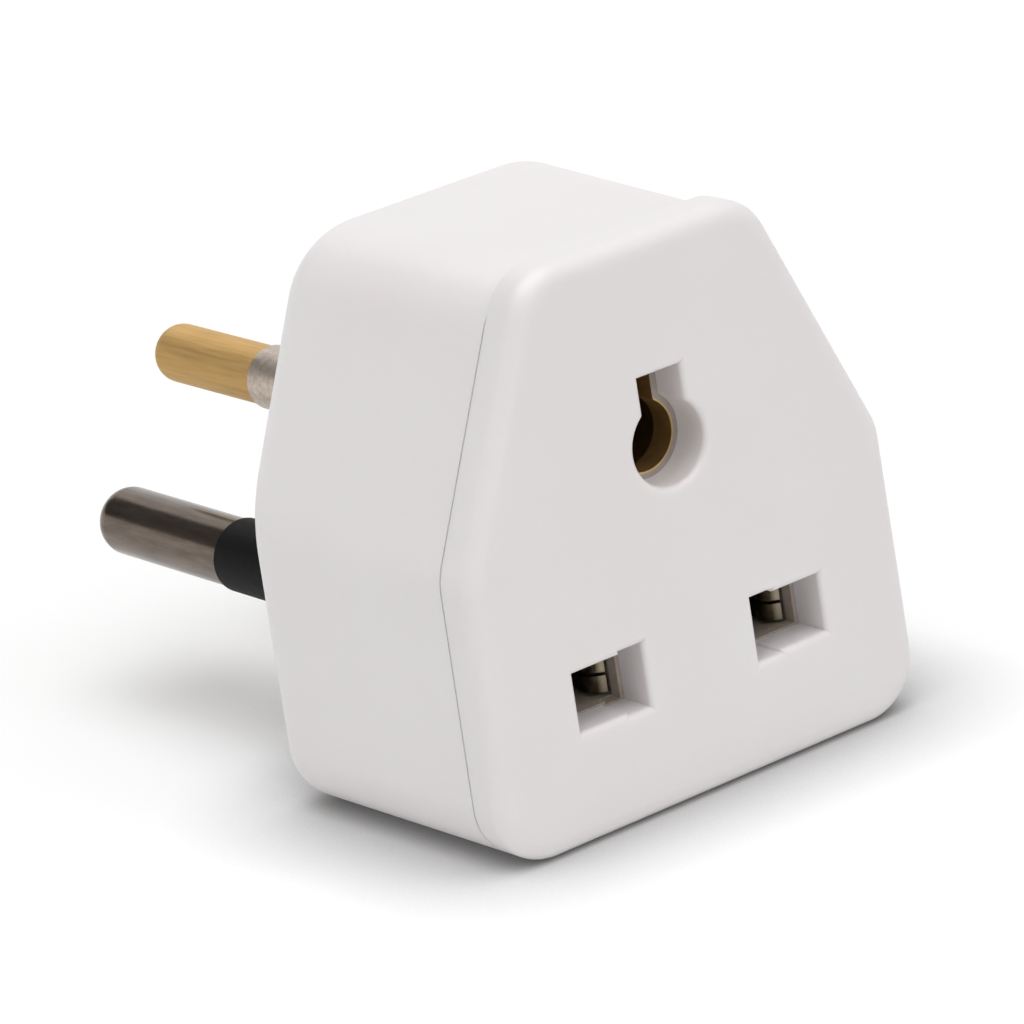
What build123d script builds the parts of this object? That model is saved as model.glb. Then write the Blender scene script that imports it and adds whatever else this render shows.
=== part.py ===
"""Travel adapter: a three-hole socket in front, three round pins behind.

Millimetres. X runs to the right seen from the socket face, Y runs from the face
to the pin tips, Z is up. The adapter stands on its flat underside, and the origin
is in the middle of its length, on the surface that it stands on.
"""
import os

from build123d import *

# Outline of the front cover, six-sided and narrow at the top
base_half = 25.1
shoulder_half = 24.7
shoulder_z = 28.4
top_half = 13.35
cover_top_z = 54.45
base_corner_r = 6.0
shoulder_r = 7.0
top_corner_r = 5.7

# The housing is lower at the top than the cover, and swells a little to the back
top_step = 1.25
step_corner_r = 6.4
back_swell = 0.75
back_shoulder_rise = 1.6
back_top_half = 15.0
back_top_drop = 0.05
back_base_corner_r = 6.1
back_shoulder_r = 24.0
back_top_corner_r = 9.5
back_edge_r = 4.1
underside_trim = 0.02

# Depths behind the socket face
cover_depth = 4.3
parting_gap = 0.2
housing_depth = 35.5
block_height = 9.5

# Walls of the two shells
face_wall = 3.9
front_edge_r = 1.9
collar_wall = 1.3
housing_wall = 2.4
back_wall = 3.0
lip_wall = 1.3
lip_clearance = 0.15

# Openings in the face, placed from the line through the two blade slots
slot_line_z = 13.8
slot_inner_x = 6.5
slot_outer_x = 14.7
slot_height = 5.75
slot_step = 0.3
slot_step_width = 2.7
slot_edge_r = 0.7
slot_to_earth_height = 20.6
earth_hole_r = 4.15
earth_neck_half = 2.5
earth_neck_top = 27.5
neck_corner_r = 0.4
earth_edge_r = 0.7

# Inner moulding that holds the contacts, and its lid
carrier_plate = 1.3
carrier_wall = 1.2
carrier_clearance = 0.25
ledge_side_width = 0.45
ledge_low_width = 0.2
pocket_clearance = 0.35
lid_floor = 1.0
earth_wall_length = 6.0

# Sprung clips that grip the two flat blades at their narrow edges, and the steel springs
# outside them. Mouth, pinch and back are measured between the middles of the two leaves.
clip_length = 13.2
clip_height = 5.0
clip_strip = 0.5
clip_mouth = 7.0
clip_pinch = 4.34
clip_back = 5.6
clip_tip_gap = 0.3
clip_lead = 1.2
clip_run = 4.15
clip_bend_r = 0.6
clip_pinch_r = 1.2
clip_slit = 0.35
clip_slit_drop = 0.68
clip_slit_length = 4.2
spring_strip = 0.4
spring_width = 4.0
spring_gap = 0.05
spring_behind_pinch = 1.5

# Rolled keyhole sleeve of the earth contact, and its ring spring
sleeve_sheet = 0.9
sleeve_show = 0.7
sleeve_length = 13.7
sleeve_tab_width = 4.4
sleeve_tab_length = 7.0
ring_strip = 0.6
ring_width = 2.0
ring_gap = 0.05
ring_from_back = 1.5

# Straps that join the contacts to the pins, and their rivets
strap_strip = 0.8
strap_width = 5.6
strap_bend_r = 1.0
strap_drop = 2.6
strap_foot = 2.0
eye_margin = 1.4
earth_strap_lap = 5.6
earth_strap_slope_share = 24 / 71
earth_strap_drop = 5.0
rivet_r = 0.9
rivet_head_r = 1.5
rivet_head = 0.6
rivet_clearance = 0.05

# Pins
pin_spread = 25.4
power_pin_z = 17.5
earth_pin_z = 30.45
power_pin_r = 3.45
earth_pin_r = 3.0
power_pin_end = 77.4
earth_pin_end = 82.6
power_tip_r = 2.5
earth_tip_r = 2.2
power_sleeve_end = 55.2
earth_collar_end = 64.4
power_neck_r = 2.95
earth_neck_r = 2.45
power_sleeve_proud = 0.25
earth_collar_proud = 0.25
sleeve_seat = 3.0
sleeve_clearance = 0.03
pin_wall = 0.6
pin_solid_tip = 2.0
swage_lip = 0.7
swage_flare = 0.8
washer_thickness = 0.7
washer_margin = 1.3
block_margin = 1.95
block_taper = 2.0
block_edge_r = 1.0
block_wall = 2.2
pin_tube_wall = 1.6
block_floor = 2.0

# Screws that close the two shells
screw_x = 19.0
screw_low_z = 6.8
screw_above_neck = 5.7
screw_r = 1.45
screw_head_r = 2.4
screw_head = 1.7
screw_head_edge_r = 0.6
screw_thread_length = 8.0
screw_clearance = 0.15
thread_clearance = 0.03
boss_r = 2.8
pillar_r = 3.4
boss_end = 12.0
pillar_seat = 5.0
driver_length = 2.6
driver_width = 0.6
driver_depth = 0.9

# Ribs and posts in the housing that hold the carrier and its lid forward
rib_thickness = 1.4
rib_reach = 3.6
rib_cover = 0.8
rib_heights = (20.0, 33.0)
post_r = 1.6
post_x = 4.6

# Places that follow from the sizes above
face_y = -earth_pin_end / 2
back_top_z = cover_top_z - back_top_drop
earth_z = slot_line_z + slot_to_earth_height
neck_top_z = slot_line_z + earth_neck_top
screw_top_z = neck_top_z + screw_above_neck
slot_mid_x = (slot_inner_x + slot_outer_x) / 2
slot_width = slot_outer_x - slot_inner_x
pin_x = pin_spread / 2
block_end = housing_depth + block_height
inner_back = housing_depth - back_wall
carrier_back = cover_depth + carrier_plate
clip_end = carrier_back + clip_length
foot_front = clip_end + spring_strip
rivet_back = foot_front + strap_strip + rivet_head
lid_back = rivet_back + lid_floor
sleeve_inner_r = earth_hole_r - sleeve_show
sleeve_outer_r = sleeve_inner_r + sleeve_sheet
sleeve_end = cover_depth + sleeve_length
head_seat = boss_end + pillar_seat
power_places = [(pin_x, power_pin_z), (-pin_x, power_pin_z)]
earth_places = [(0, earth_pin_z)]
screw_places = [(screw_x, screw_low_z), (-screw_x, screw_low_z), (0, screw_top_z)]
sides = (("line", 1), ("neutral", -1))


def across(depth):
    """Plane across the adapter at a depth behind the face, seen from the front."""
    return Plane.XZ.offset(-(face_y + depth))


def along(x):
    """Plane along the adapter: local x is the depth behind the face, local y is Z."""
    return Plane(origin=(x, face_y, 0), x_dir=(0, 1, 0), z_dir=(1, 0, 0))


def hexagon(plane, low_z, low, mid_z, mid, high_z, high, radii, inset=0.0):
    """Six-sided outline with rounded corners, given by three heights and half widths."""
    with BuildSketch(plane) as sketch:
        with BuildLine():
            FilletPolyline(
                (-low, low_z), (low, low_z), (mid, mid_z),
                (high, high_z), (-high, high_z), (-mid, mid_z),
                radius=[radii[0], radii[0], radii[1], radii[2], radii[2], radii[1]],
                close=True,
            )
        make_face()
        if inset:
            offset(amount=-inset, kind=Kind.INTERSECTION)
    return sketch.sketch


def cover_outline(depth):
    """The cover's outline, which stands on the ground."""
    radii = (base_corner_r, shoulder_r, top_corner_r)
    return hexagon(
        across(depth), 0, base_half, shoulder_z, shoulder_half, cover_top_z, top_half, radii
    )


def front_outline(depth, inset=0.0):
    """The housing's outline where it meets the cover: flush at the sides, lower at the top."""
    slope = (shoulder_half - top_half) / (cover_top_z - shoulder_z)
    radii = (base_corner_r, shoulder_r, step_corner_r)
    return hexagon(
        across(depth), -underside_trim, base_half, shoulder_z, shoulder_half,
        cover_top_z - top_step, top_half + slope * top_step, radii, inset,
    )


def back_outline(depth, inset=0.0):
    """The housing's outline at its back."""
    radii = (back_base_corner_r, back_shoulder_r, back_top_corner_r)
    return hexagon(
        across(depth), -underside_trim, base_half + back_swell,
        shoulder_z + back_shoulder_rise, shoulder_half + back_swell,
        back_top_z, back_top_half, radii, inset,
    )


def keyhole(plane, grow):
    """The earth opening, a round hole with a straight neck on top, grown all round."""
    with BuildSketch(plane) as sketch:
        with Locations((0, earth_z)):
            Circle(earth_hole_r + grow)
        with Locations((0, earth_z)):
            Rectangle(
                2 * (earth_neck_half + grow), neck_top_z + grow - earth_z,
                align=(Align.CENTER, Align.MIN),
            )
        corners = sketch.vertices().group_by(Axis.Y)[0]
        fillet(corners, neck_corner_r)
    return sketch.sketch


def slots(plane, grow_x=0.0, grow_z=0.0):
    """The two blade slots, grown in width and in height."""
    with BuildSketch(plane) as sketch:
        with Locations((slot_mid_x, slot_line_z), (-slot_mid_x, slot_line_z)):
            Rectangle(slot_width + 2 * grow_x, slot_height + 2 * grow_z)
    return sketch.sketch


def slot_steps(plane, grow_x=0.0, grow_z=0.0):
    """The inner ends of the slots, which are a little higher than the rest."""
    inner_mid = slot_inner_x + slot_step_width / 2
    with BuildSketch(plane) as sketch:
        with Locations((inner_mid, slot_line_z), (-inner_mid, slot_line_z)):
            Rectangle(slot_step_width + 2 * grow_x, slot_height + 2 * (slot_step + grow_z))
    return sketch.sketch


def flared(opening, edge_r):
    """Cutter for an opening in the cover: straight inside, with a rounded mouth at the face."""
    with BuildPart() as plate:
        extrude(cover_outline(0), amount=-cover_depth)
        extrude(opening, amount=-cover_depth, mode=Mode.SUBTRACT)
        fillet(plate.faces().sort_by(Axis.Y)[0].inner_wires().edges(), edge_r)
    with BuildPart() as cutter:
        extrude(cover_outline(0), amount=-cover_depth)
        add(plate.part, mode=Mode.SUBTRACT)
    return cutter.part


def discs(plane, places, radius):
    with BuildSketch(plane) as sketch:
        with Locations(*places):
            Circle(radius)
    return sketch.sketch


def half_at(z):
    """Half of the housing's width at a height, at its front."""
    if z < shoulder_z:
        return base_half + (shoulder_half - base_half) * z / shoulder_z
    return shoulder_half + (top_half - shoulder_half) * (z - shoulder_z) / (cover_top_z - shoulder_z)


def save(piece, name):
    piece.part.label = name
    export_step(piece.part, f"parts/{name}.step")


os.makedirs("parts", exist_ok=True)
lip_inset = housing_wall + lip_clearance
plate_inset = lip_inset + lip_wall

# Front cover: face wall, lip that enters the housing, collars round the openings, screw bosses
with BuildPart() as front_cover:
    extrude(cover_outline(0), amount=-cover_depth)
    fillet(front_cover.faces().sort_by(Axis.Y)[0].edges(), front_edge_r)
    extrude(front_outline(cover_depth, lip_inset), amount=-carrier_plate)
    extrude(
        front_outline(face_wall, plate_inset),
        amount=-(carrier_back - face_wall), mode=Mode.SUBTRACT,
    )
    extrude(
        slots(across(face_wall), collar_wall, collar_wall), amount=-(cover_depth - face_wall)
    )
    extrude(keyhole(across(face_wall), collar_wall), amount=-(cover_depth - face_wall))
    extrude(discs(across(face_wall), screw_places, boss_r), amount=-(boss_end - face_wall))
    extrude(
        discs(across(boss_end), screw_places, screw_r + thread_clearance),
        amount=screw_thread_length, mode=Mode.SUBTRACT,
    )
    add(flared(keyhole(across(0), 0), earth_edge_r), mode=Mode.SUBTRACT)
    add(flared(slots(across(0)), slot_edge_r), mode=Mode.SUBTRACT)
    add(flared(slot_steps(across(0)), slot_edge_r), mode=Mode.SUBTRACT)
save(front_cover, "front_cover")

# Rear housing: deep shell, block that carries the pins, screw pillars, ribs and posts
with BuildPart() as rear_housing:
    loft([front_outline(cover_depth + parting_gap), back_outline(housing_depth)], ruled=True)
    fillet(rear_housing.faces().sort_by(Axis.Y)[-1].edges(), back_edge_r)
    split(bisect_by=Plane.XY, keep=Keep.TOP)
    with BuildSketch(across(housing_depth)):
        with Locations(*power_places):
            Circle(power_pin_r + block_margin)
        with Locations(*earth_places):
            Circle(earth_pin_r + block_margin)
        make_hull()
    extrude(amount=-block_height, taper=block_taper)
    fillet(rear_housing.faces().sort_by(Axis.Y)[-1].edges(), block_edge_r)
    loft(
        [front_outline(cover_depth + parting_gap, housing_wall), back_outline(inner_back, housing_wall)],
        ruled=True, mode=Mode.SUBTRACT,
    )
    with BuildSketch(across(inner_back)):
        with Locations(*power_places):
            Circle(power_pin_r + block_margin - block_wall)
        with Locations(*earth_places):
            Circle(earth_pin_r + block_margin - block_wall)
        make_hull()
        with Locations(*power_places):
            Circle(power_neck_r + pin_tube_wall, mode=Mode.SUBTRACT)
        with Locations(*earth_places):
            Circle(earth_neck_r + pin_tube_wall, mode=Mode.SUBTRACT)
    extrude(amount=-(block_end - sleeve_seat - block_floor - inner_back), mode=Mode.SUBTRACT)
    extrude(discs(across(boss_end), screw_places, pillar_r), amount=-(inner_back - boss_end))
    for rib_z in rib_heights:
        rib_end = half_at(rib_z) - rib_cover
        rib_length = rib_reach + housing_wall - rib_cover
        with BuildSketch(across(carrier_back)):
            with Locations((rib_end - rib_length / 2, rib_z), (rib_length / 2 - rib_end, rib_z)):
                Rectangle(rib_length, rib_thickness)
        extrude(amount=-(inner_back - carrier_back))
    post_places = [(post_x, slot_line_z), (-post_x, slot_line_z)]
    extrude(discs(across(lid_back), post_places, post_r), amount=-(inner_back - lid_back))
    extrude(
        discs(across(boss_end), screw_places, screw_r + screw_clearance),
        amount=-pillar_seat, mode=Mode.SUBTRACT,
    )
    extrude(
        discs(across(head_seat), screw_places, screw_head_r + screw_clearance),
        amount=-(housing_depth - head_seat), mode=Mode.SUBTRACT,
    )
    for places, neck_r, outer_r in (
        (power_places, power_neck_r, power_pin_r + power_sleeve_proud),
        (earth_places, earth_neck_r, earth_pin_r + earth_collar_proud),
    ):
        extrude(
            discs(across(inner_back), places, neck_r + sleeve_clearance),
            amount=-(block_end - inner_back), mode=Mode.SUBTRACT,
        )
        extrude(
            discs(across(block_end - sleeve_seat), places, outer_r + sleeve_clearance),
            amount=-sleeve_seat, mode=Mode.SUBTRACT,
        )
save(rear_housing, "rear_housing")

# Contact carrier: plate behind the face, a pocket for each clip, a collar for the sleeve
pocket_x = (clip_mouth + clip_strip) / 2 + pocket_clearance
pocket_z = clip_height / 2 + pocket_clearance
with BuildPart() as contact_carrier:
    extrude(front_outline(cover_depth, plate_inset + carrier_clearance), amount=-carrier_plate)
    with BuildSketch(across(carrier_back)):
        with Locations((slot_mid_x, slot_line_z), (-slot_mid_x, slot_line_z)):
            Rectangle(2 * (pocket_x + carrier_wall), 2 * (pocket_z + carrier_wall))
    extrude(amount=-clip_length)
    extrude(
        keyhole(across(carrier_back), sleeve_outer_r - earth_hole_r + carrier_clearance + carrier_wall),
        amount=-earth_wall_length,
    )
    with BuildSketch(across(carrier_back)):
        with Locations((slot_mid_x, slot_line_z), (-slot_mid_x, slot_line_z)):
            Rectangle(2 * pocket_x, 2 * pocket_z)
    extrude(amount=-clip_length, mode=Mode.SUBTRACT)
    for opening in (slots, slot_steps):
        extrude(
            opening(across(cover_depth), -ledge_side_width, -ledge_low_width),
            amount=-carrier_plate, mode=Mode.SUBTRACT,
        )
    extrude(
        keyhole(across(cover_depth), sleeve_outer_r - earth_hole_r + carrier_clearance),
        amount=-(carrier_plate + earth_wall_length), mode=Mode.SUBTRACT,
    )
    extrude(
        discs(across(cover_depth), screw_places, boss_r + carrier_clearance),
        amount=-carrier_plate, mode=Mode.SUBTRACT,
    )
save(contact_carrier, "contact_carrier")

# Carrier lid: closes the clip pockets from behind, with room for the riveted strap feet
strap_x = slot_mid_x
run_z = slot_line_z - strap_drop
with BuildPart() as carrier_lid:
    with BuildSketch(across(clip_end)):
        with Locations((0, slot_line_z)):
            RectangleRounded(
                2 * (slot_mid_x + pocket_x + carrier_wall), 2 * (pocket_z + carrier_wall), carrier_wall
            )
    extrude(amount=-(lid_back - clip_end))
    with BuildSketch(across(clip_end)):
        with Locations((strap_x, slot_line_z), (-strap_x, slot_line_z)):
            Rectangle(2 * pocket_x, 2 * pocket_z)
    extrude(amount=-(rivet_back - clip_end), mode=Mode.SUBTRACT)
    with BuildSketch(across(clip_end)):
        with Locations((strap_x, run_z), (-strap_x, run_z)):
            Rectangle(strap_width + 2 * pocket_clearance, strap_strip + 2 * pocket_clearance)
    extrude(amount=-(lid_back - clip_end), mode=Mode.SUBTRACT)
save(carrier_lid, "carrier_lid")


def clip_path(mid_x, grow, from_pinch, end):
    """Middle line of a clip seen from above, starting before or behind the pinch of its leaves."""
    pinch_y = carrier_back + clip_lead
    back_y = carrier_back + clip_run
    pinch_half = clip_pinch / 2 + grow
    back_half = clip_back / 2 + grow
    leaf = [(back_half, end), (back_half, back_y)]
    radii = [clip_bend_r, clip_pinch_r]
    if from_pinch < 0:
        leaf += [(pinch_half, pinch_y), (clip_mouth / 2 + grow, pinch_y + from_pinch)]
        radii += [clip_pinch_r]
    else:
        spread = (back_half - pinch_half) * from_pinch / (back_y - pinch_y)
        leaf += [(pinch_half + spread, pinch_y + from_pinch)]
    other_leaf = [(-x, y) for x, y in reversed(leaf)]
    points = [(mid_x + x, face_y + y) for x, y in other_leaf + leaf]
    FilletPolyline(*points, radius=list(reversed(radii)) + radii)


for side, sign in sides:
    # Blade clip: one folded strip, two sprung leaves, each slit into two fingers
    with BuildPart() as contact:
        with BuildSketch(Plane.XY.offset(slot_line_z - clip_height / 2)):
            with BuildLine():
                clip_path(
                    sign * slot_mid_x, 0, clip_tip_gap - clip_lead, clip_end - clip_strip / 2
                )
            trace(line_width=clip_strip)
        extrude(amount=clip_height)
        with BuildSketch(Plane.XY.offset(slot_line_z - clip_slit_drop - clip_slit / 2)):
            with Locations((sign * slot_mid_x, face_y + carrier_back)):
                Rectangle(2 * pocket_x, clip_slit_length, align=(Align.CENTER, Align.MIN))
        extrude(amount=clip_slit, mode=Mode.SUBTRACT)
        extrude(
            discs(
                across(clip_end - clip_strip), [(sign * slot_mid_x, slot_line_z)],
                rivet_r + rivet_clearance,
            ),
            amount=-clip_strip, mode=Mode.SUBTRACT,
        )
    save(contact, f"{side}_contact")

    # Steel spring outside the leaves, so that they keep their grip
    with BuildPart() as spring:
        with BuildSketch(Plane.XY.offset(slot_line_z - spring_width / 2)):
            with BuildLine():
                grow = (clip_strip + spring_strip) / 2 + spring_gap
                clip_path(
                    sign * slot_mid_x, grow, spring_behind_pinch, clip_end + spring_strip / 2
                )
            trace(line_width=spring_strip)
        extrude(amount=spring_width)
        extrude(
            discs(across(clip_end), [(sign * slot_mid_x, slot_line_z)], rivet_r + rivet_clearance),
            amount=-spring_strip, mode=Mode.SUBTRACT,
        )
    save(spring, f"{side}_contact_spring")

    # Strap: a foot riveted to the clip, a run to the back, an eye round the neck of the pin
    with BuildPart() as strap:
        with BuildSketch(along(sign * slot_mid_x)):
            with BuildLine():
                FilletPolyline(
                    (foot_front + strap_strip / 2, slot_line_z + strap_foot),
                    (foot_front + strap_strip / 2, run_z),
                    (inner_back - strap_strip / 2, run_z),
                    (inner_back - strap_strip / 2, power_pin_z),
                    radius=strap_bend_r,
                )
            trace(line_width=strap_strip)
        extrude(amount=strap_width / 2, both=True)
        eye_plane = across(inner_back - strap_strip)
        eye_place = [(sign * pin_x, power_pin_z)]
        extrude(discs(eye_plane, eye_place, power_neck_r + eye_margin), amount=-strap_strip)
        extrude(
            discs(eye_plane, eye_place, power_neck_r + sleeve_clearance),
            amount=-strap_strip, mode=Mode.SUBTRACT,
        )
        extrude(
            discs(across(foot_front), [(sign * slot_mid_x, slot_line_z)], rivet_r + rivet_clearance),
            amount=-strap_strip, mode=Mode.SUBTRACT,
        )
    save(strap, f"{side}_strap")

# Earth contact: sheet rolled into a keyhole sleeve, with a tab that runs on at the back
sleeve_grow = sleeve_outer_r - earth_hole_r
tab_z = earth_z - sleeve_inner_r - sleeve_sheet / 2
tab_low_z = tab_z - sleeve_sheet / 2
tab_end = sleeve_end + sleeve_tab_length
lap_start = tab_end - earth_strap_lap
earth_rivet_place = (0, face_y + tab_end - earth_strap_lap / 2)
with BuildPart() as earth_contact:
    extrude(keyhole(across(cover_depth), sleeve_grow), amount=-sleeve_length)
    with BuildSketch(across(sleeve_end - sleeve_sheet)):
        with Locations((0, tab_z)):
            Rectangle(sleeve_tab_width, sleeve_sheet)
    extrude(amount=-(sleeve_tab_length + sleeve_sheet))
    extrude(keyhole(across(cover_depth), -sleeve_show), amount=-sleeve_length, mode=Mode.SUBTRACT)
    extrude(
        discs(Plane.XY.offset(tab_low_z), [earth_rivet_place], rivet_r + rivet_clearance),
        amount=sleeve_sheet, mode=Mode.SUBTRACT,
    )
save(earth_contact, "earth_contact")

# Ring spring that closes the sleeve on the pin, open at the top for the neck
ring_inner_r = sleeve_outer_r + ring_gap
with BuildPart() as earth_contact_spring:
    with BuildSketch(across(sleeve_end - ring_from_back - ring_width)):
        with Locations((0, earth_z)):
            Circle(ring_inner_r + ring_strip)
            Circle(ring_inner_r, mode=Mode.SUBTRACT)
            Rectangle(
                2 * (earth_neck_half + sleeve_grow + ring_strip), 2 * (ring_inner_r + ring_strip),
                align=(Align.CENTER, Align.MIN), mode=Mode.SUBTRACT,
            )
    extrude(amount=-ring_width)
save(earth_contact_spring, "earth_contact_spring")

# Earth strap: lies under the tab, steps down, and rises to the earth pin
low_z = tab_low_z - strap_strip / 2 - earth_strap_drop
rise_depth = inner_back - strap_strip / 2
slope_end = tab_end + earth_strap_slope_share * (rise_depth - tab_end)
with BuildPart() as earth_strap:
    with BuildSketch(along(0)):
        with BuildLine():
            FilletPolyline(
                (lap_start, tab_low_z - strap_strip / 2),
                (tab_end, tab_low_z - strap_strip / 2),
                (slope_end, low_z),
                (rise_depth, low_z),
                (rise_depth, earth_pin_z),
                radius=strap_bend_r,
            )
        trace(line_width=strap_strip)
    extrude(amount=strap_width / 2, both=True)
    eye_plane = across(inner_back - strap_strip)
    extrude(discs(eye_plane, earth_places, earth_neck_r + eye_margin), amount=-strap_strip)
    extrude(
        discs(eye_plane, earth_places, earth_neck_r + sleeve_clearance),
        amount=-strap_strip, mode=Mode.SUBTRACT,
    )
    extrude(
        discs(Plane.XY.offset(tab_low_z), [earth_rivet_place], rivet_r + rivet_clearance),
        amount=-strap_strip, mode=Mode.SUBTRACT,
    )
save(earth_strap, "earth_strap")

# Rivets: one through each clip, its spring and strap, and one through the earth tab
clip_inside = clip_end - clip_strip
clip_places = [(slot_mid_x, slot_line_z), (-slot_mid_x, slot_line_z)]
rivet_top = tab_low_z + sleeve_sheet
rivet_low = tab_low_z - strap_strip
with BuildPart() as contact_rivets:
    extrude(discs(across(clip_inside - rivet_head), clip_places, rivet_head_r), amount=-rivet_head)
    extrude(discs(across(clip_inside), clip_places, rivet_r), amount=-(rivet_back - clip_inside))
    extrude(discs(across(rivet_back - rivet_head), clip_places, rivet_head_r), amount=-rivet_head)
    for bottom, radius, height in (
        (rivet_top, rivet_head_r, rivet_head),
        (rivet_low, rivet_r, rivet_top - rivet_low),
        (rivet_low - rivet_head, rivet_head_r, rivet_head),
    ):
        extrude(discs(Plane.XY.offset(bottom), [earth_rivet_place], radius), amount=height)
save(contact_rivets, "contact_rivets")


def pin_section(x, z, radius, neck_r, shoulder, end, tip_r):
    """Half section of a hollow pin: flared end, thin neck, shank and rounded tip."""
    neck_end = inner_back - strap_strip - washer_thickness - swage_flare
    bore_r = neck_r - pin_wall
    bore_end = end - pin_solid_tip
    with BuildSketch(Plane(origin=(x, face_y, z), x_dir=(0, 1, 0), z_dir=(1, 0, 0))) as sketch:
        with BuildLine():
            Polyline(
                (end - tip_r, radius), (shoulder, radius), (shoulder, neck_r),
                (neck_end + swage_flare, neck_r), (neck_end + swage_flare, neck_r + swage_lip),
                (neck_end, neck_r), (neck_end, bore_r), (bore_end, bore_r), (bore_end, 0), (end, 0),
                (end, radius - tip_r),
            )
            RadiusArc((end, radius - tip_r), (end - tip_r, radius), -tip_r)
        make_face()
    return sketch.sketch


def ring(depth, x, z, inner_r, outer_r):
    """Flat ring across the adapter."""
    with BuildSketch(across(depth)) as sketch:
        with Locations((x, z)):
            Circle(outer_r)
            Circle(inner_r, mode=Mode.SUBTRACT)
    return sketch.sketch


# Pins of the plug, each with the insulating sleeve or collar round its neck
sleeve_start = block_end - sleeve_seat
for name, sleeve_name, x, z, radius, neck_r, shoulder, end, tip_r, proud in (
    ("line_pin", "line_pin_sleeve", pin_x, power_pin_z, power_pin_r, power_neck_r,
     power_sleeve_end, power_pin_end, power_tip_r, power_sleeve_proud),
    ("neutral_pin", "neutral_pin_sleeve", -pin_x, power_pin_z, power_pin_r, power_neck_r,
     power_sleeve_end, power_pin_end, power_tip_r, power_sleeve_proud),
    ("earth_pin", "earth_pin_collar", 0, earth_pin_z, earth_pin_r, earth_neck_r,
     earth_collar_end, earth_pin_end, earth_tip_r, earth_collar_proud),
):
    with BuildPart() as pin:
        revolve(
            pin_section(x, z, radius, neck_r, shoulder, end, tip_r),
            axis=Axis((x, 0, z), (0, 1, 0)),
        )
    save(pin, name)
    with BuildPart() as sleeve:
        extrude(
            ring(sleeve_start, x, z, neck_r + sleeve_clearance, radius + proud),
            amount=-(shoulder - sleeve_start),
        )
    save(sleeve, sleeve_name)

# Washers under the flared ends of the pins
with BuildPart() as pin_washers:
    washer_depth = inner_back - strap_strip - washer_thickness
    for x, z, neck_r in (
        (pin_x, power_pin_z, power_neck_r),
        (-pin_x, power_pin_z, power_neck_r),
        (0, earth_pin_z, earth_neck_r),
    ):
        extrude(
            ring(washer_depth, x, z, neck_r + sleeve_clearance, neck_r + washer_margin),
            amount=-washer_thickness,
        )
save(pin_washers, "pin_washers")

# Screws from the back, in the deep pillars, into the bosses of the cover
with BuildPart() as housing_screws:
    extrude(discs(across(head_seat), screw_places, screw_head_r), amount=-screw_head)
    fillet(housing_screws.faces().group_by(Axis.Y)[-1].edges(), screw_head_edge_r)
    thread_end = boss_end - screw_thread_length
    extrude(discs(across(thread_end), screw_places, screw_r), amount=-(head_seat - thread_end))
    with BuildSketch(across(head_seat + screw_head)):
        with Locations(*screw_places):
            Rectangle(driver_length, driver_width)
            Rectangle(driver_width, driver_length)
    extrude(amount=driver_depth, mode=Mode.SUBTRACT)
save(housing_screws, "housing_screws")
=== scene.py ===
"""The looks of a moulded travel adapter: the camera, the studio, and its pieces as assembled."""

import math

import bpy
import numpy as np
from mathutils import Matrix, Vector

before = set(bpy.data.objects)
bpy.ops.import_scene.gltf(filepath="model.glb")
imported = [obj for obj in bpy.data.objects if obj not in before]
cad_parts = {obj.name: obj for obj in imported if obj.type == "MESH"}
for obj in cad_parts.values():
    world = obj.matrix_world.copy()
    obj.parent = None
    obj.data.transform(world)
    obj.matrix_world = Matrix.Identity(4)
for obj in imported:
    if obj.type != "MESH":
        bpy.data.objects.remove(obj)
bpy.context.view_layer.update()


# Camera. A long lens looks down on the front and on the left side of the standing adapter,
# and is turned a little about its own axis, so that the base rises to the right.
AIM = Vector((-0.00977, -0.02844, 0.02858))
AIM_DISTANCE = 0.6
AZIMUTH = math.radians(34.57)
LOOKING_DOWN = math.radians(18.446)
ROLL = math.radians(-9.09)
FOCAL_MM = 228.52
SENSOR_MM = 36
NEAREST = 0.05
FARTHEST = 20
turn = (
    Matrix.Rotation(-AZIMUTH, 4, "Z")
    @ Matrix.Rotation(math.pi / 2 - LOOKING_DOWN, 4, "X")
    @ Matrix.Rotation(ROLL, 4, "Z")
)
eye = AIM + turn.to_3x3() @ Vector((0, 0, AIM_DISTANCE))
camera_data = bpy.data.cameras.new("long_lens")
camera_data.sensor_width = SENSOR_MM
camera_data.lens = FOCAL_MM
camera_data.clip_start = NEAREST
camera_data.clip_end = FARTHEST
camera = bpy.data.objects.new("camera", camera_data)
camera.matrix_world = Matrix.Translation(eye) @ turn
bpy.context.collection.objects.link(camera)
bpy.context.scene.camera = camera
bpy.context.scene.view_settings.view_transform = "Standard"


# Studio. A white room with three very large soft lamps, the strongest of them overhead. The
# camera and every reflection see the room as white, and its own light on the adapter is dimmer.
SKY_LIGHT = 0.3
SOFTBOX_SPREAD = math.radians(60)
SOFTBOXES = (
    ("overhead_softbox", 1.14, (0.0, 0.0, 1.0)),
    ("front_softbox", 0.87, (0.0, -0.7, 1.0)),
    ("left_softbox", 0.42, (-0.7, 0.0, 1.0)),
)


def linear(srgb_hex):
    """The linear colour, with alpha 1, of an sRGB value such as "#dedbd8"."""
    parts = [int(srgb_hex[i:i + 2], 16) / 255 for i in (1, 3, 5)]
    return (*[c / 12.92 if c <= 0.04045 else ((c + 0.055) / 1.055) ** 2.4 for c in parts], 1.0)


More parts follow.
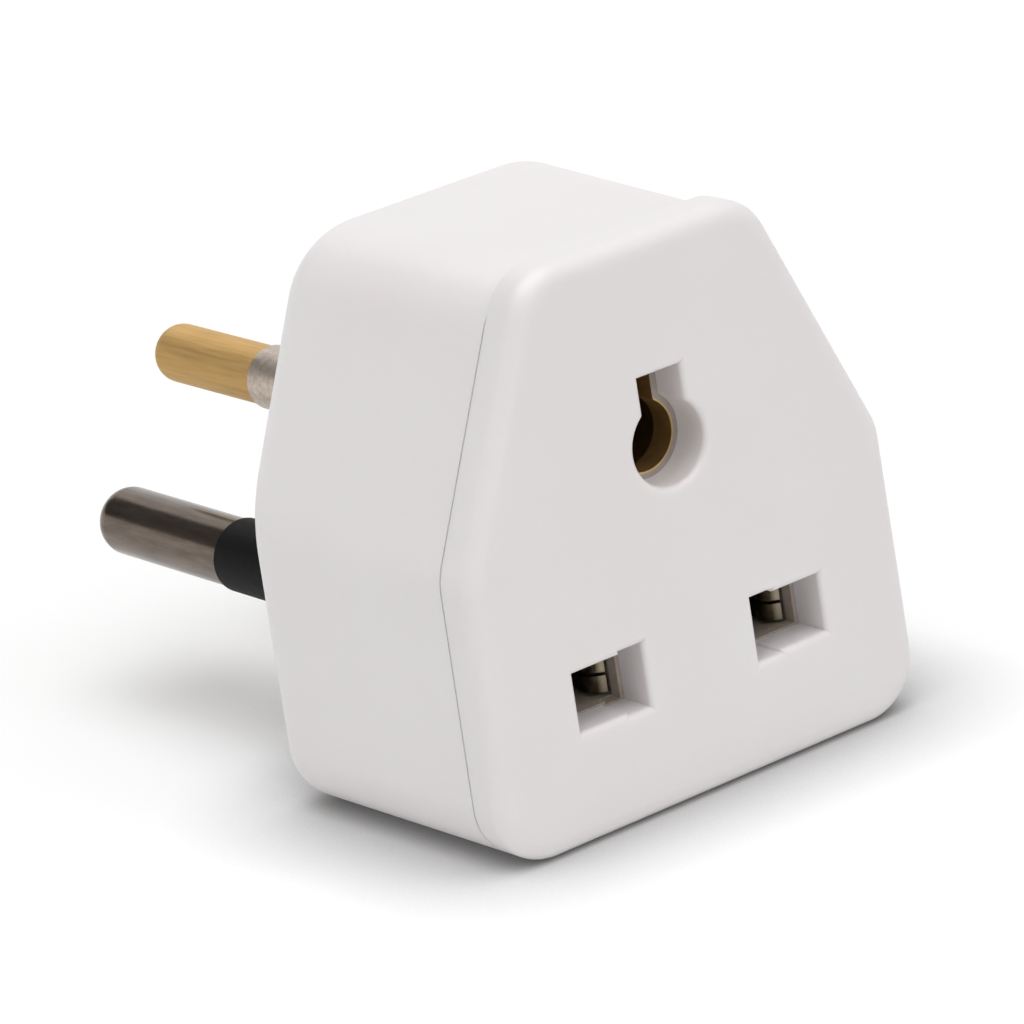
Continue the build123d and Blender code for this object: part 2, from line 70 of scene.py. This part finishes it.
def add_node(tree, kind, **values):
    """Adds one node. A value named like an input (spaces as _) sets that socket, or links it
    when the value is a socket. in0, in1 ... name an input by its number, ramp gives a colour
    ramp its (place, colour) stops, and any other name is a setting of the node itself."""
    made = tree.nodes.new(kind)
    for place, colour in values.pop("ramp", ()):
        stops = made.color_ramp.elements
        stop = stops[0] if place == 0 else stops[-1] if place == 1 else stops.new(place)
        stop.color = linear(colour)
    for name, value in values.items():
        sockets = {s.name.replace(" ", "_"): s for s in reversed(made.inputs) if s.enabled}
        sockets.update({f"in{i}": s for i, s in enumerate(made.inputs)})
        if name not in sockets:
            setattr(made, name, value)
        elif isinstance(value, bpy.types.NodeSocket):
            tree.links.new(value, sockets[name])
        else:
            sockets[name].default_value = value
    return made


world = bpy.data.worlds.new("white_room")
world.use_nodes = True
bpy.context.scene.world = world
world.node_tree.nodes.clear()
rays = add_node(world.node_tree, "ShaderNodeLightPath")
seen = add_node(
    world.node_tree, "ShaderNodeMath", operation="MAXIMUM",
    in0=rays.outputs["Is Camera Ray"], in1=rays.outputs["Is Glossy Ray"],
)
seen = add_node(
    world.node_tree, "ShaderNodeMath", operation="MAXIMUM",
    in0=seen.outputs[0], in1=rays.outputs["Is Transmission Ray"],
)
level = add_node(
    world.node_tree, "ShaderNodeMapRange", Value=seen.outputs[0], To_Min=SKY_LIGHT, To_Max=1.0
)
sky = add_node(
    world.node_tree, "ShaderNodeBackground", Color=(1, 1, 1, 1), Strength=level.outputs[0]
)
add_node(world.node_tree, "ShaderNodeOutputWorld", Surface=sky.outputs[0])

for name, strength, direction in SOFTBOXES:
    lamp = bpy.data.lights.new(name, "SUN")
    lamp.energy = strength
    lamp.angle = SOFTBOX_SPREAD
    lamp_object = bpy.data.objects.new(name, lamp)
    lamp_object.rotation_mode = "QUATERNION"
    lamp_object.rotation_quaternion = Vector(direction).to_track_quat("Z", "Y")
    bpy.context.collection.objects.link(lamp_object)


# Floor. A sheet of matt white paper that runs on past the edge of the picture. What the camera
# sees of it is lifted a little, to the white of the background, and darkened close to the
# adapter, where so soft a light leaves too pale a shadow. Its light on the adapter stays as it is.
MM = 0.001
FLOOR_HALF = 4.0
PAPER_LIFT = 0.08
CONTACT_REACH = 15 * MM
CONTACT_SAMPLES = 4
floor_mesh = bpy.data.meshes.new("white_paper")
floor_mesh.from_pydata(
    [(x * FLOOR_HALF, y * FLOOR_HALF, 0) for x, y in ((-1, -1), (1, -1), (1, 1), (-1, 1))],
    [], [(0, 1, 2, 3)],
)
floor = bpy.data.objects.new("floor", floor_mesh)
bpy.context.collection.objects.link(floor)
paper = bpy.data.materials.new("matt_white_paper")
paper.use_nodes = True
tree = paper.node_tree
tree.nodes.clear()
rays = add_node(tree, "ShaderNodeLightPath")
seen = add_node(
    tree, "ShaderNodeMath", operation="MAXIMUM",
    in0=rays.outputs["Is Camera Ray"], in1=rays.outputs["Is Glossy Ray"],
)
lift = add_node(
    tree, "ShaderNodeMath", operation="MULTIPLY", in0=seen.outputs[0], in1=PAPER_LIFT
)
contact = add_node(
    tree, "ShaderNodeAmbientOcclusion", samples=CONTACT_SAMPLES, Distance=CONTACT_REACH
)
unseen = add_node(tree, "ShaderNodeMath", operation="SUBTRACT", in0=1.0, in1=seen.outputs[0])
lit = add_node(
    tree, "ShaderNodeMath", operation="MAXIMUM", in0=contact.outputs["AO"], in1=unseen.outputs[0]
)
shade = add_node(
    tree, "ShaderNodeValToRGB", Fac=lit.outputs[0], ramp=((0, "#302c2a"), (1, "#f8f8f8"))
)
matt = add_node(tree, "ShaderNodeBsdfDiffuse", Color=shade.outputs[0])
glow = add_node(tree, "ShaderNodeEmission", Color=(1, 1, 1, 1), Strength=lift.outputs[0])
both = add_node(tree, "ShaderNodeAddShader", in0=matt.outputs[0], in1=glow.outputs[0])
add_node(tree, "ShaderNodeOutputMaterial", Surface=both.outputs[0])
floor_mesh.materials.append(paper)


# Grey screen. A curved cloth that hangs behind the adapter and round its left side, from table
# height up to the ceiling. It is seen only in reflections, and gives the round pins their dark
# band.
SCREEN_RADIUS = 3.0
SCREEN_FOOT = 0.7
SCREEN_HEAD = 3.4
SCREEN_START = math.radians(88)
SCREEN_END = math.radians(250)
SCREEN_SIDES = 64
SCREEN_GREY = 0.18
turns = np.linspace(SCREEN_START, SCREEN_END, SCREEN_SIDES + 1)
rim = SCREEN_RADIUS * np.stack([np.cos(turns), np.sin(turns)], axis=1)
foot, head = (np.c_[rim, np.full(len(rim), z)] for z in (SCREEN_FOOT, SCREEN_HEAD))
here = np.arange(SCREEN_SIDES)
panes = np.stack([here + 1, here, here + len(rim), here + len(rim) + 1], axis=1)
screen_mesh = bpy.data.meshes.new("grey_screen")
screen_mesh.from_pydata(np.concatenate([foot, head]).tolist(), [], panes.tolist())
screen = bpy.data.objects.new("screen", screen_mesh)
bpy.context.collection.objects.link(screen)
screen.visible_camera = False
screen.visible_diffuse = False
screen.visible_shadow = False
screen.visible_transmission = False
screen_cloth = bpy.data.materials.new("grey_screen_cloth")
screen_cloth.use_nodes = True
screen_cloth.node_tree.nodes.clear()
screen_tone = add_node(
    screen_cloth.node_tree, "ShaderNodeEmission", Color=(1, 1, 1, 1), Strength=SCREEN_GREY
)
add_node(screen_cloth.node_tree, "ShaderNodeOutputMaterial", Surface=screen_tone.outputs[0])
screen_mesh.materials.append(screen_cloth)


# Outer shells. The cover and the deep housing are injection moulded in the same white
# polycarbonate blend, in a polished tool, and meet at a narrow shadow gap. Three screws from
# behind pull them together.
PEEL_WIDTH = 1.6 * MM
PEEL_DEPTH = 0.02 * MM
DRIFT_WIDTH = 15 * MM
GLOW_DEPTH = 1.5 * MM


def new_material(name, **values):
    """A new material: its node tree, its Principled shader with the shader's own sockets set,
    and the object coordinates that its patterns are laid out in."""
    material = bpy.data.materials.new(name)
    material.use_nodes = True
    material.node_tree.nodes.clear()
    shader = add_node(material.node_tree, "ShaderNodeBsdfPrincipled", **values)
    add_node(material.node_tree, "ShaderNodeOutputMaterial", Surface=shader.outputs[0])
    place = add_node(material.node_tree, "ShaderNodeTexCoord").outputs["Object"]
    return material, material.node_tree, shader, place


def finish_node(names, material):
    """Gives CAD nodes a finish in place of the plain one that they were packed with."""
    for name in names:
        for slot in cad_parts[name].material_slots:
            slot.material = material


# White polycarbonate as moulded: satin gloss, and a little light that passes through the wall,
# which softens its edges and brightens the openings.
white_pc, tree, shader, place = new_material(
    "moulded_white_polycarbonate", IOR=1.58, Subsurface_Weight=0.3,
    Subsurface_Radius=(1.0, 0.8, 0.65), Subsurface_Scale=GLOW_DEPTH,
)
# Moulded gloss is never dead flat: a shallow orange peel breaks up its reflections.
peel = add_node(
    tree, "ShaderNodeTexNoise", Vector=place, Scale=1 / PEEL_WIDTH, Detail=2.0, Roughness=0.45
)
peel_bump = add_node(
    tree, "ShaderNodeBump", Height=peel.outputs["Fac"], Strength=0.12, Distance=PEEL_DEPTH
)
tree.links.new(peel_bump.outputs[0], shader.inputs["Normal"])
# The colour drifts by a shade over some millimetres, as it does where a wall cooled slower.
drift = add_node(tree, "ShaderNodeTexNoise", Vector=place, Scale=1 / DRIFT_WIDTH, Detail=2.0)
tint = add_node(
    tree, "ShaderNodeValToRGB", Fac=drift.outputs["Fac"], ramp=((0, "#e9e4e4"), (1, "#edeaea"))
)
tree.links.new(tint.outputs[0], shader.inputs["Base Color"])
gloss = add_node(
    tree, "ShaderNodeMapRange", Value=peel.outputs["Fac"], To_Min=0.3, To_Max=0.38
)
tree.links.new(gloss.outputs[0], shader.inputs["Roughness"])
finish_node(["front_cover", "rear_housing"], white_pc)


# Carrier and its lid. The inner moulding that holds the clips, and the lid that closes their
# pockets from behind, are moulded in nylon. The carrier's front shows as a thin ledge in the
# slots. Undyed nylon gone dull: matt, a grainy buff that is darker than the shells.
# The grain is drawn coarser than the real one of about 0.1 mm, which is too fine to show.
GRAIN_WIDTH = 0.5 * MM
nylon, tree, shader, place = new_material("moulded_offwhite_nylon", Roughness=0.55, IOR=1.53)
grain = add_node(tree, "ShaderNodeTexNoise", Vector=place, Scale=1 / GRAIN_WIDTH, Detail=3.0)
tint = add_node(
    tree, "ShaderNodeValToRGB", Fac=grain.outputs["Fac"], ramp=((0, "#a2978b"), (1, "#c0b6ab"))
)
tree.links.new(tint.outputs[0], shader.inputs["Base Color"])
finish_node(["contact_carrier", "carrier_lid"], nylon)


# Clips. Each is folded from one thin brass strip, pressed into the carrier and riveted to its
# strap. The thin nickel flash has gone a blotchy olive brown with a dull shine. A painted
# highlight makes their front ends, just behind the slot mouths, a little brighter.
CLIP_TIP_Y = -35.4 * MM
FRONT_HIGHLIGHT_LENGTH = 0.3 * MM
BLOOM_WIDTH = 1.2 * MM
clip, tree, shader, place = new_material(
    "tarnished_nickel_flashed_brass_strip", Metallic=1.0, Roughness=0.5
)
bloom = add_node(tree, "ShaderNodeTexNoise", Vector=place, Scale=1 / BLOOM_WIDTH, Detail=4.0)
tint = add_node(
    tree, "ShaderNodeValToRGB", Fac=bloom.outputs["Fac"],
    ramp=((0, "#40382d"), (0.35, "#483f31"), (0.7, "#6c6250"), (1, "#7b7160")),
)
along = add_node(tree, "ShaderNodeSeparateXYZ", Vector=place)
# Painted highlight: the front 0.3 mm of each clip, nearest the slot mouth, turns a lighter grey.
front_highlight = add_node(
    tree, "ShaderNodeMapRange", Value=along.outputs["Y"],
    From_Min=CLIP_TIP_Y, From_Max=CLIP_TIP_Y + FRONT_HIGHLIGHT_LENGTH, To_Min=1.0, To_Max=0.0,
)
tint_and_front_highlight = add_node(
    tree, "ShaderNodeMix", data_type="RGBA", Factor=front_highlight.outputs[0], A=tint.outputs[0],
    B=linear("#a99f8a"),
)
tree.links.new(tint_and_front_highlight.outputs[2], shader.inputs["Base Color"])
finish_node(["line_contact", "neutral_contact"], clip)


# Springs and washers. The springs are bent from rolled steel strip and lie outside the clips'
# leaves and round the earth sleeve. The washers are punched from it, and sit under the flared
# ends of the pins. Bright grey metal, its shine a little cloudy from the rollers.
ROLLING_WIDTH = 0.6 * MM
spring, tree, shader, place = new_material(
    "rolled_spring_steel", Base_Color=linear("#a8a8a6"), Metallic=1.0
)
rolling = add_node(tree, "ShaderNodeTexNoise", Vector=place, Scale=1 / ROLLING_WIDTH, Detail=2.0)
gloss = add_node(
    tree, "ShaderNodeMapRange", Value=rolling.outputs["Fac"], To_Min=0.22, To_Max=0.4
)
tree.links.new(gloss.outputs[0], shader.inputs["Roughness"])
finish_node(
    ["line_contact_spring", "neutral_contact_spring", "earth_contact_spring", "pin_washers"],
    spring,
)


# Straps and rivets. The straps are cut and bent from half-hard brass sheet, riveted to the
# contacts, and end in an eye round the neck of each pin. Unplated yellow metal, with broad
# darker stains.
STAIN_WIDTH = 2.5 * MM
sheet_brass, tree, shader, place = new_material("rolled_brass_sheet", Metallic=1.0, Roughness=0.3)
stain = add_node(tree, "ShaderNodeTexNoise", Vector=place, Scale=1 / STAIN_WIDTH, Detail=4.0)
tint = add_node(
    tree, "ShaderNodeValToRGB", Fac=stain.outputs["Fac"],
    ramp=((0, "#a5834a"), (0.35, "#a98749"), (0.7, "#d3b071"), (1, "#d8b87c")),
)
tree.links.new(tint.outputs[0], shader.inputs["Base Color"])
finish_node(["line_strap", "neutral_strap", "earth_strap", "contact_rivets"], sheet_brass)


# Earth sleeve. Rolled from brass sheet to the form of the keyhole, and held by the carrier's
# collar. Its sawn front edge has gone grey, with a painted highlight round its inner rim. Inside,
# its mottled brass is painted lighter for the first few millimetres and painted shade behind.
SLEEVE_FRONT_Y = -37.0 * MM
SLEEVE_CENTRE_Z = 34.4 * MM
SLEEVE_INNER_R = 3.45 * MM
EDGE_DEPTH = 0.02 * MM
GLINT_WIDTH = 0.1 * MM
PAINTED_LIGHT_LENGTH = 2.6 * MM
PAINTED_SHADE_FADE = 0.2 * MM
MOTTLE_WIDTH = 1.5 * MM
earth_sleeve, tree, shader, place = new_material(
    "rolled_brass_sheet_with_sawn_edge", Metallic=1.0, Roughness=0.5
)
stain = add_node(tree, "ShaderNodeTexNoise", Vector=place, Scale=1 / MOTTLE_WIDTH, Detail=4.0)
# Mottled brass, its colour painted lighter to stand for the light that reaches the mouth of the
# bore.
lit_brass_mottle = add_node(
    tree, "ShaderNodeValToRGB", Fac=stain.outputs["Fac"], ramp=((0, "#cda766"), (1, "#ecc988"))
)
parts = add_node(tree, "ShaderNodeSeparateXYZ", Vector=place)
painted_light_end = SLEEVE_FRONT_Y + PAINTED_LIGHT_LENGTH
# Painted shade: deeper in the bore the colour turns dark brown.
painted_shade_depth = add_node(
    tree, "ShaderNodeMapRange", Value=parts.outputs["Y"],
    From_Min=painted_light_end, From_Max=painted_light_end + PAINTED_SHADE_FADE,
)
bore_light_and_shade = add_node(
    tree, "ShaderNodeMix", data_type="RGBA", Factor=painted_shade_depth.outputs[0], A=lit_brass_mottle.outputs[0],
    B=linear("#7c5f34"),
)
facing = add_node(
    tree, "ShaderNodeMath", operation="LESS_THAN", in0=parts.outputs["Y"],
    in1=SLEEVE_FRONT_Y + EDGE_DEPTH,
)
centred = add_node(
    tree, "ShaderNodeMapping", Vector=place, Location=(0, 0, -SLEEVE_CENTRE_Z), Scale=(1, 0, 1)
)
from_axis = add_node(
    tree, "ShaderNodeVectorMath", operation="LENGTH", in0=centred.outputs[0]
)
# Painted highlight: a bright gold ring on the front face, within 0.1 mm of the inner rim.
glint_ring = add_node(
    tree, "ShaderNodeMapRange", Value=from_axis.outputs["Value"],
    From_Min=SLEEVE_INNER_R + GLINT_WIDTH, From_Max=SLEEVE_INNER_R + 2 * GLINT_WIDTH,
)
edge = add_node(
    tree, "ShaderNodeMix", data_type="RGBA", Factor=glint_ring.outputs[0], A=linear("#e6c98f"),
    B=linear("#b9b0a9"),
)
colour = add_node(
    tree, "ShaderNodeMix", data_type="RGBA", Factor=facing.outputs[0], A=bore_light_and_shade.outputs[2],
    B=edge.outputs[2],
)
tree.links.new(colour.outputs[2], shader.inputs["Base Color"])
finish_node(["earth_contact"], earth_sleeve)


# Earth pin. Turned from drawn brass bar, bored from behind, and flared over its washer inside
# the housing. It is left bare: a pale satin gold, with fine lines along it from the drawing.
# The lines are drawn coarser than the real ones of about 0.05 mm, which are too fine to show.
LINE_WIDTH = 0.35 * MM
LINE_SHORTENING = 0.05
bar_brass, tree, shader, place = new_material("drawn_brass_bar", Metallic=1.0)
lines = add_node(tree, "ShaderNodeMapping", Vector=place, Scale=(1.0, LINE_SHORTENING, 1.0))
streak = add_node(
    tree, "ShaderNodeTexNoise", Vector=lines.outputs[0], Scale=1 / LINE_WIDTH, Detail=3.0
)
tint = add_node(
    tree, "ShaderNodeValToRGB", Fac=streak.outputs["Fac"],
    ramp=((0, "#b5915a"), (0.3, "#bc985f"), (0.7, "#cbaa72"), (1, "#d0af78")),
)
tree.links.new(tint.outputs[0], shader.inputs["Base Color"])
gloss = add_node(
    tree, "ShaderNodeMapRange", Value=streak.outputs["Fac"], To_Min=0.54, To_Max=0.66
)
tree.links.new(gloss.outputs[0], shader.inputs["Roughness"])
finish_node(["earth_pin"], bar_brass)


# Collar of the earth pin. A short plated tube, pushed over the neck of the pin and seated in
# the pin block. Warm grey with a dull shine, mottled where the plating has aged.
TARNISH_WIDTH = 0.6 * MM
collar, tree, shader, place = new_material("dull_grey_plated_tube", Metallic=1.0, Roughness=0.42)
mottle = add_node(tree, "ShaderNodeTexNoise", Vector=place, Scale=1 / TARNISH_WIDTH, Detail=4.0)
tint = add_node(
    tree, "ShaderNodeValToRGB", Fac=mottle.outputs["Fac"],
    ramp=((0, "#a2958a"), (0.35, "#b0a397"), (0.7, "#cabdb1"), (1, "#d2c6ba")),
)
tree.links.new(tint.outputs[0], shader.inputs["Base Color"])
finish_node(["earth_pin_collar"], collar)


# Line and neutral pins. Turned and bored as the earth pin is, nickel plated, and flared over
# their washers inside the housing. The worn plating is a smooth dark warm grey with soft
# streaks along the pin, and finely pitted, so that reflections break up at their edges.
STREAK_WIDTH = 0.7 * MM
STREAK_SHORTENING = 0.12
# The pits are drawn coarser than the real ones of about 0.05 mm, which are too fine to show.
PIT_WIDTH = 0.25 * MM
PIT_DEPTH = 0.02 * MM
nickel, tree, shader, place = new_material("worn_nickel_plate_on_brass", Metallic=1.0)
lines = add_node(tree, "ShaderNodeMapping", Vector=place, Scale=(1.0, STREAK_SHORTENING, 1.0))
wear = add_node(
    tree, "ShaderNodeTexNoise", Vector=lines.outputs[0], Scale=1 / STREAK_WIDTH, Detail=4.0,
    Roughness=0.6,
)
tint = add_node(
    tree, "ShaderNodeValToRGB", Fac=wear.outputs["Fac"],
    ramp=((0, "#564b43"), (0.35, "#60554c"), (0.68, "#766a60"), (1, "#7e7268")),
)
tree.links.new(tint.outputs[0], shader.inputs["Base Color"])
speckle = add_node(
    tree, "ShaderNodeTexNoise", Vector=place, Scale=1 / PIT_WIDTH, Detail=2.0
)
gloss = add_node(
    tree, "ShaderNodeMapRange", Value=speckle.outputs["Fac"], To_Min=0.14, To_Max=0.27
)
tree.links.new(gloss.outputs[0], shader.inputs["Roughness"])
pits = add_node(
    tree, "ShaderNodeBump", Height=speckle.outputs["Fac"], Strength=0.25, Distance=PIT_DEPTH
)
tree.links.new(pits.outputs[0], shader.inputs["Normal"])
finish_node(["line_pin", "neutral_pin"], nickel)


# Sleeves. Tubes moulded in black nylon, pushed over the necks of the two pins and seated in
# the pin block. Deep black with a faint satin shine, a little uneven where it is rubbed.
RUB_PATCH = 0.8 * MM
sleeve, tree, shader, place = new_material(
    "moulded_black_nylon", Base_Color=linear("#0a0a0a"), IOR=1.53, Specular_IOR_Level=0.1
)
rub = add_node(tree, "ShaderNodeTexNoise", Vector=place, Scale=1 / RUB_PATCH, Detail=3.0)
gloss = add_node(
    tree, "ShaderNodeMapRange", Value=rub.outputs["Fac"], To_Min=0.5, To_Max=0.62
)
tree.links.new(gloss.outputs[0], shader.inputs["Roughness"])
finish_node(["line_pin_sleeve", "neutral_pin_sleeve"], sleeve)


# Screws. Zinc plated steel, driven from behind through the three pillars of the housing into
# the bosses of the cover. Cold pale grey, its shine cloudy from the plating.
SPANGLE_WIDTH = 0.7 * MM
zinc, tree, shader, place = new_material(
    "zinc_plated_steel", Base_Color=linear("#b9b9b6"), Metallic=1.0
)
spangle = add_node(tree, "ShaderNodeTexNoise", Vector=place, Scale=1 / SPANGLE_WIDTH, Detail=2.0)
gloss = add_node(
    tree, "ShaderNodeMapRange", Value=spangle.outputs["Fac"], To_Min=0.25, To_Max=0.42
)
tree.links.new(gloss.outputs[0], shader.inputs["Roughness"])
finish_node(["housing_screws"], zinc)
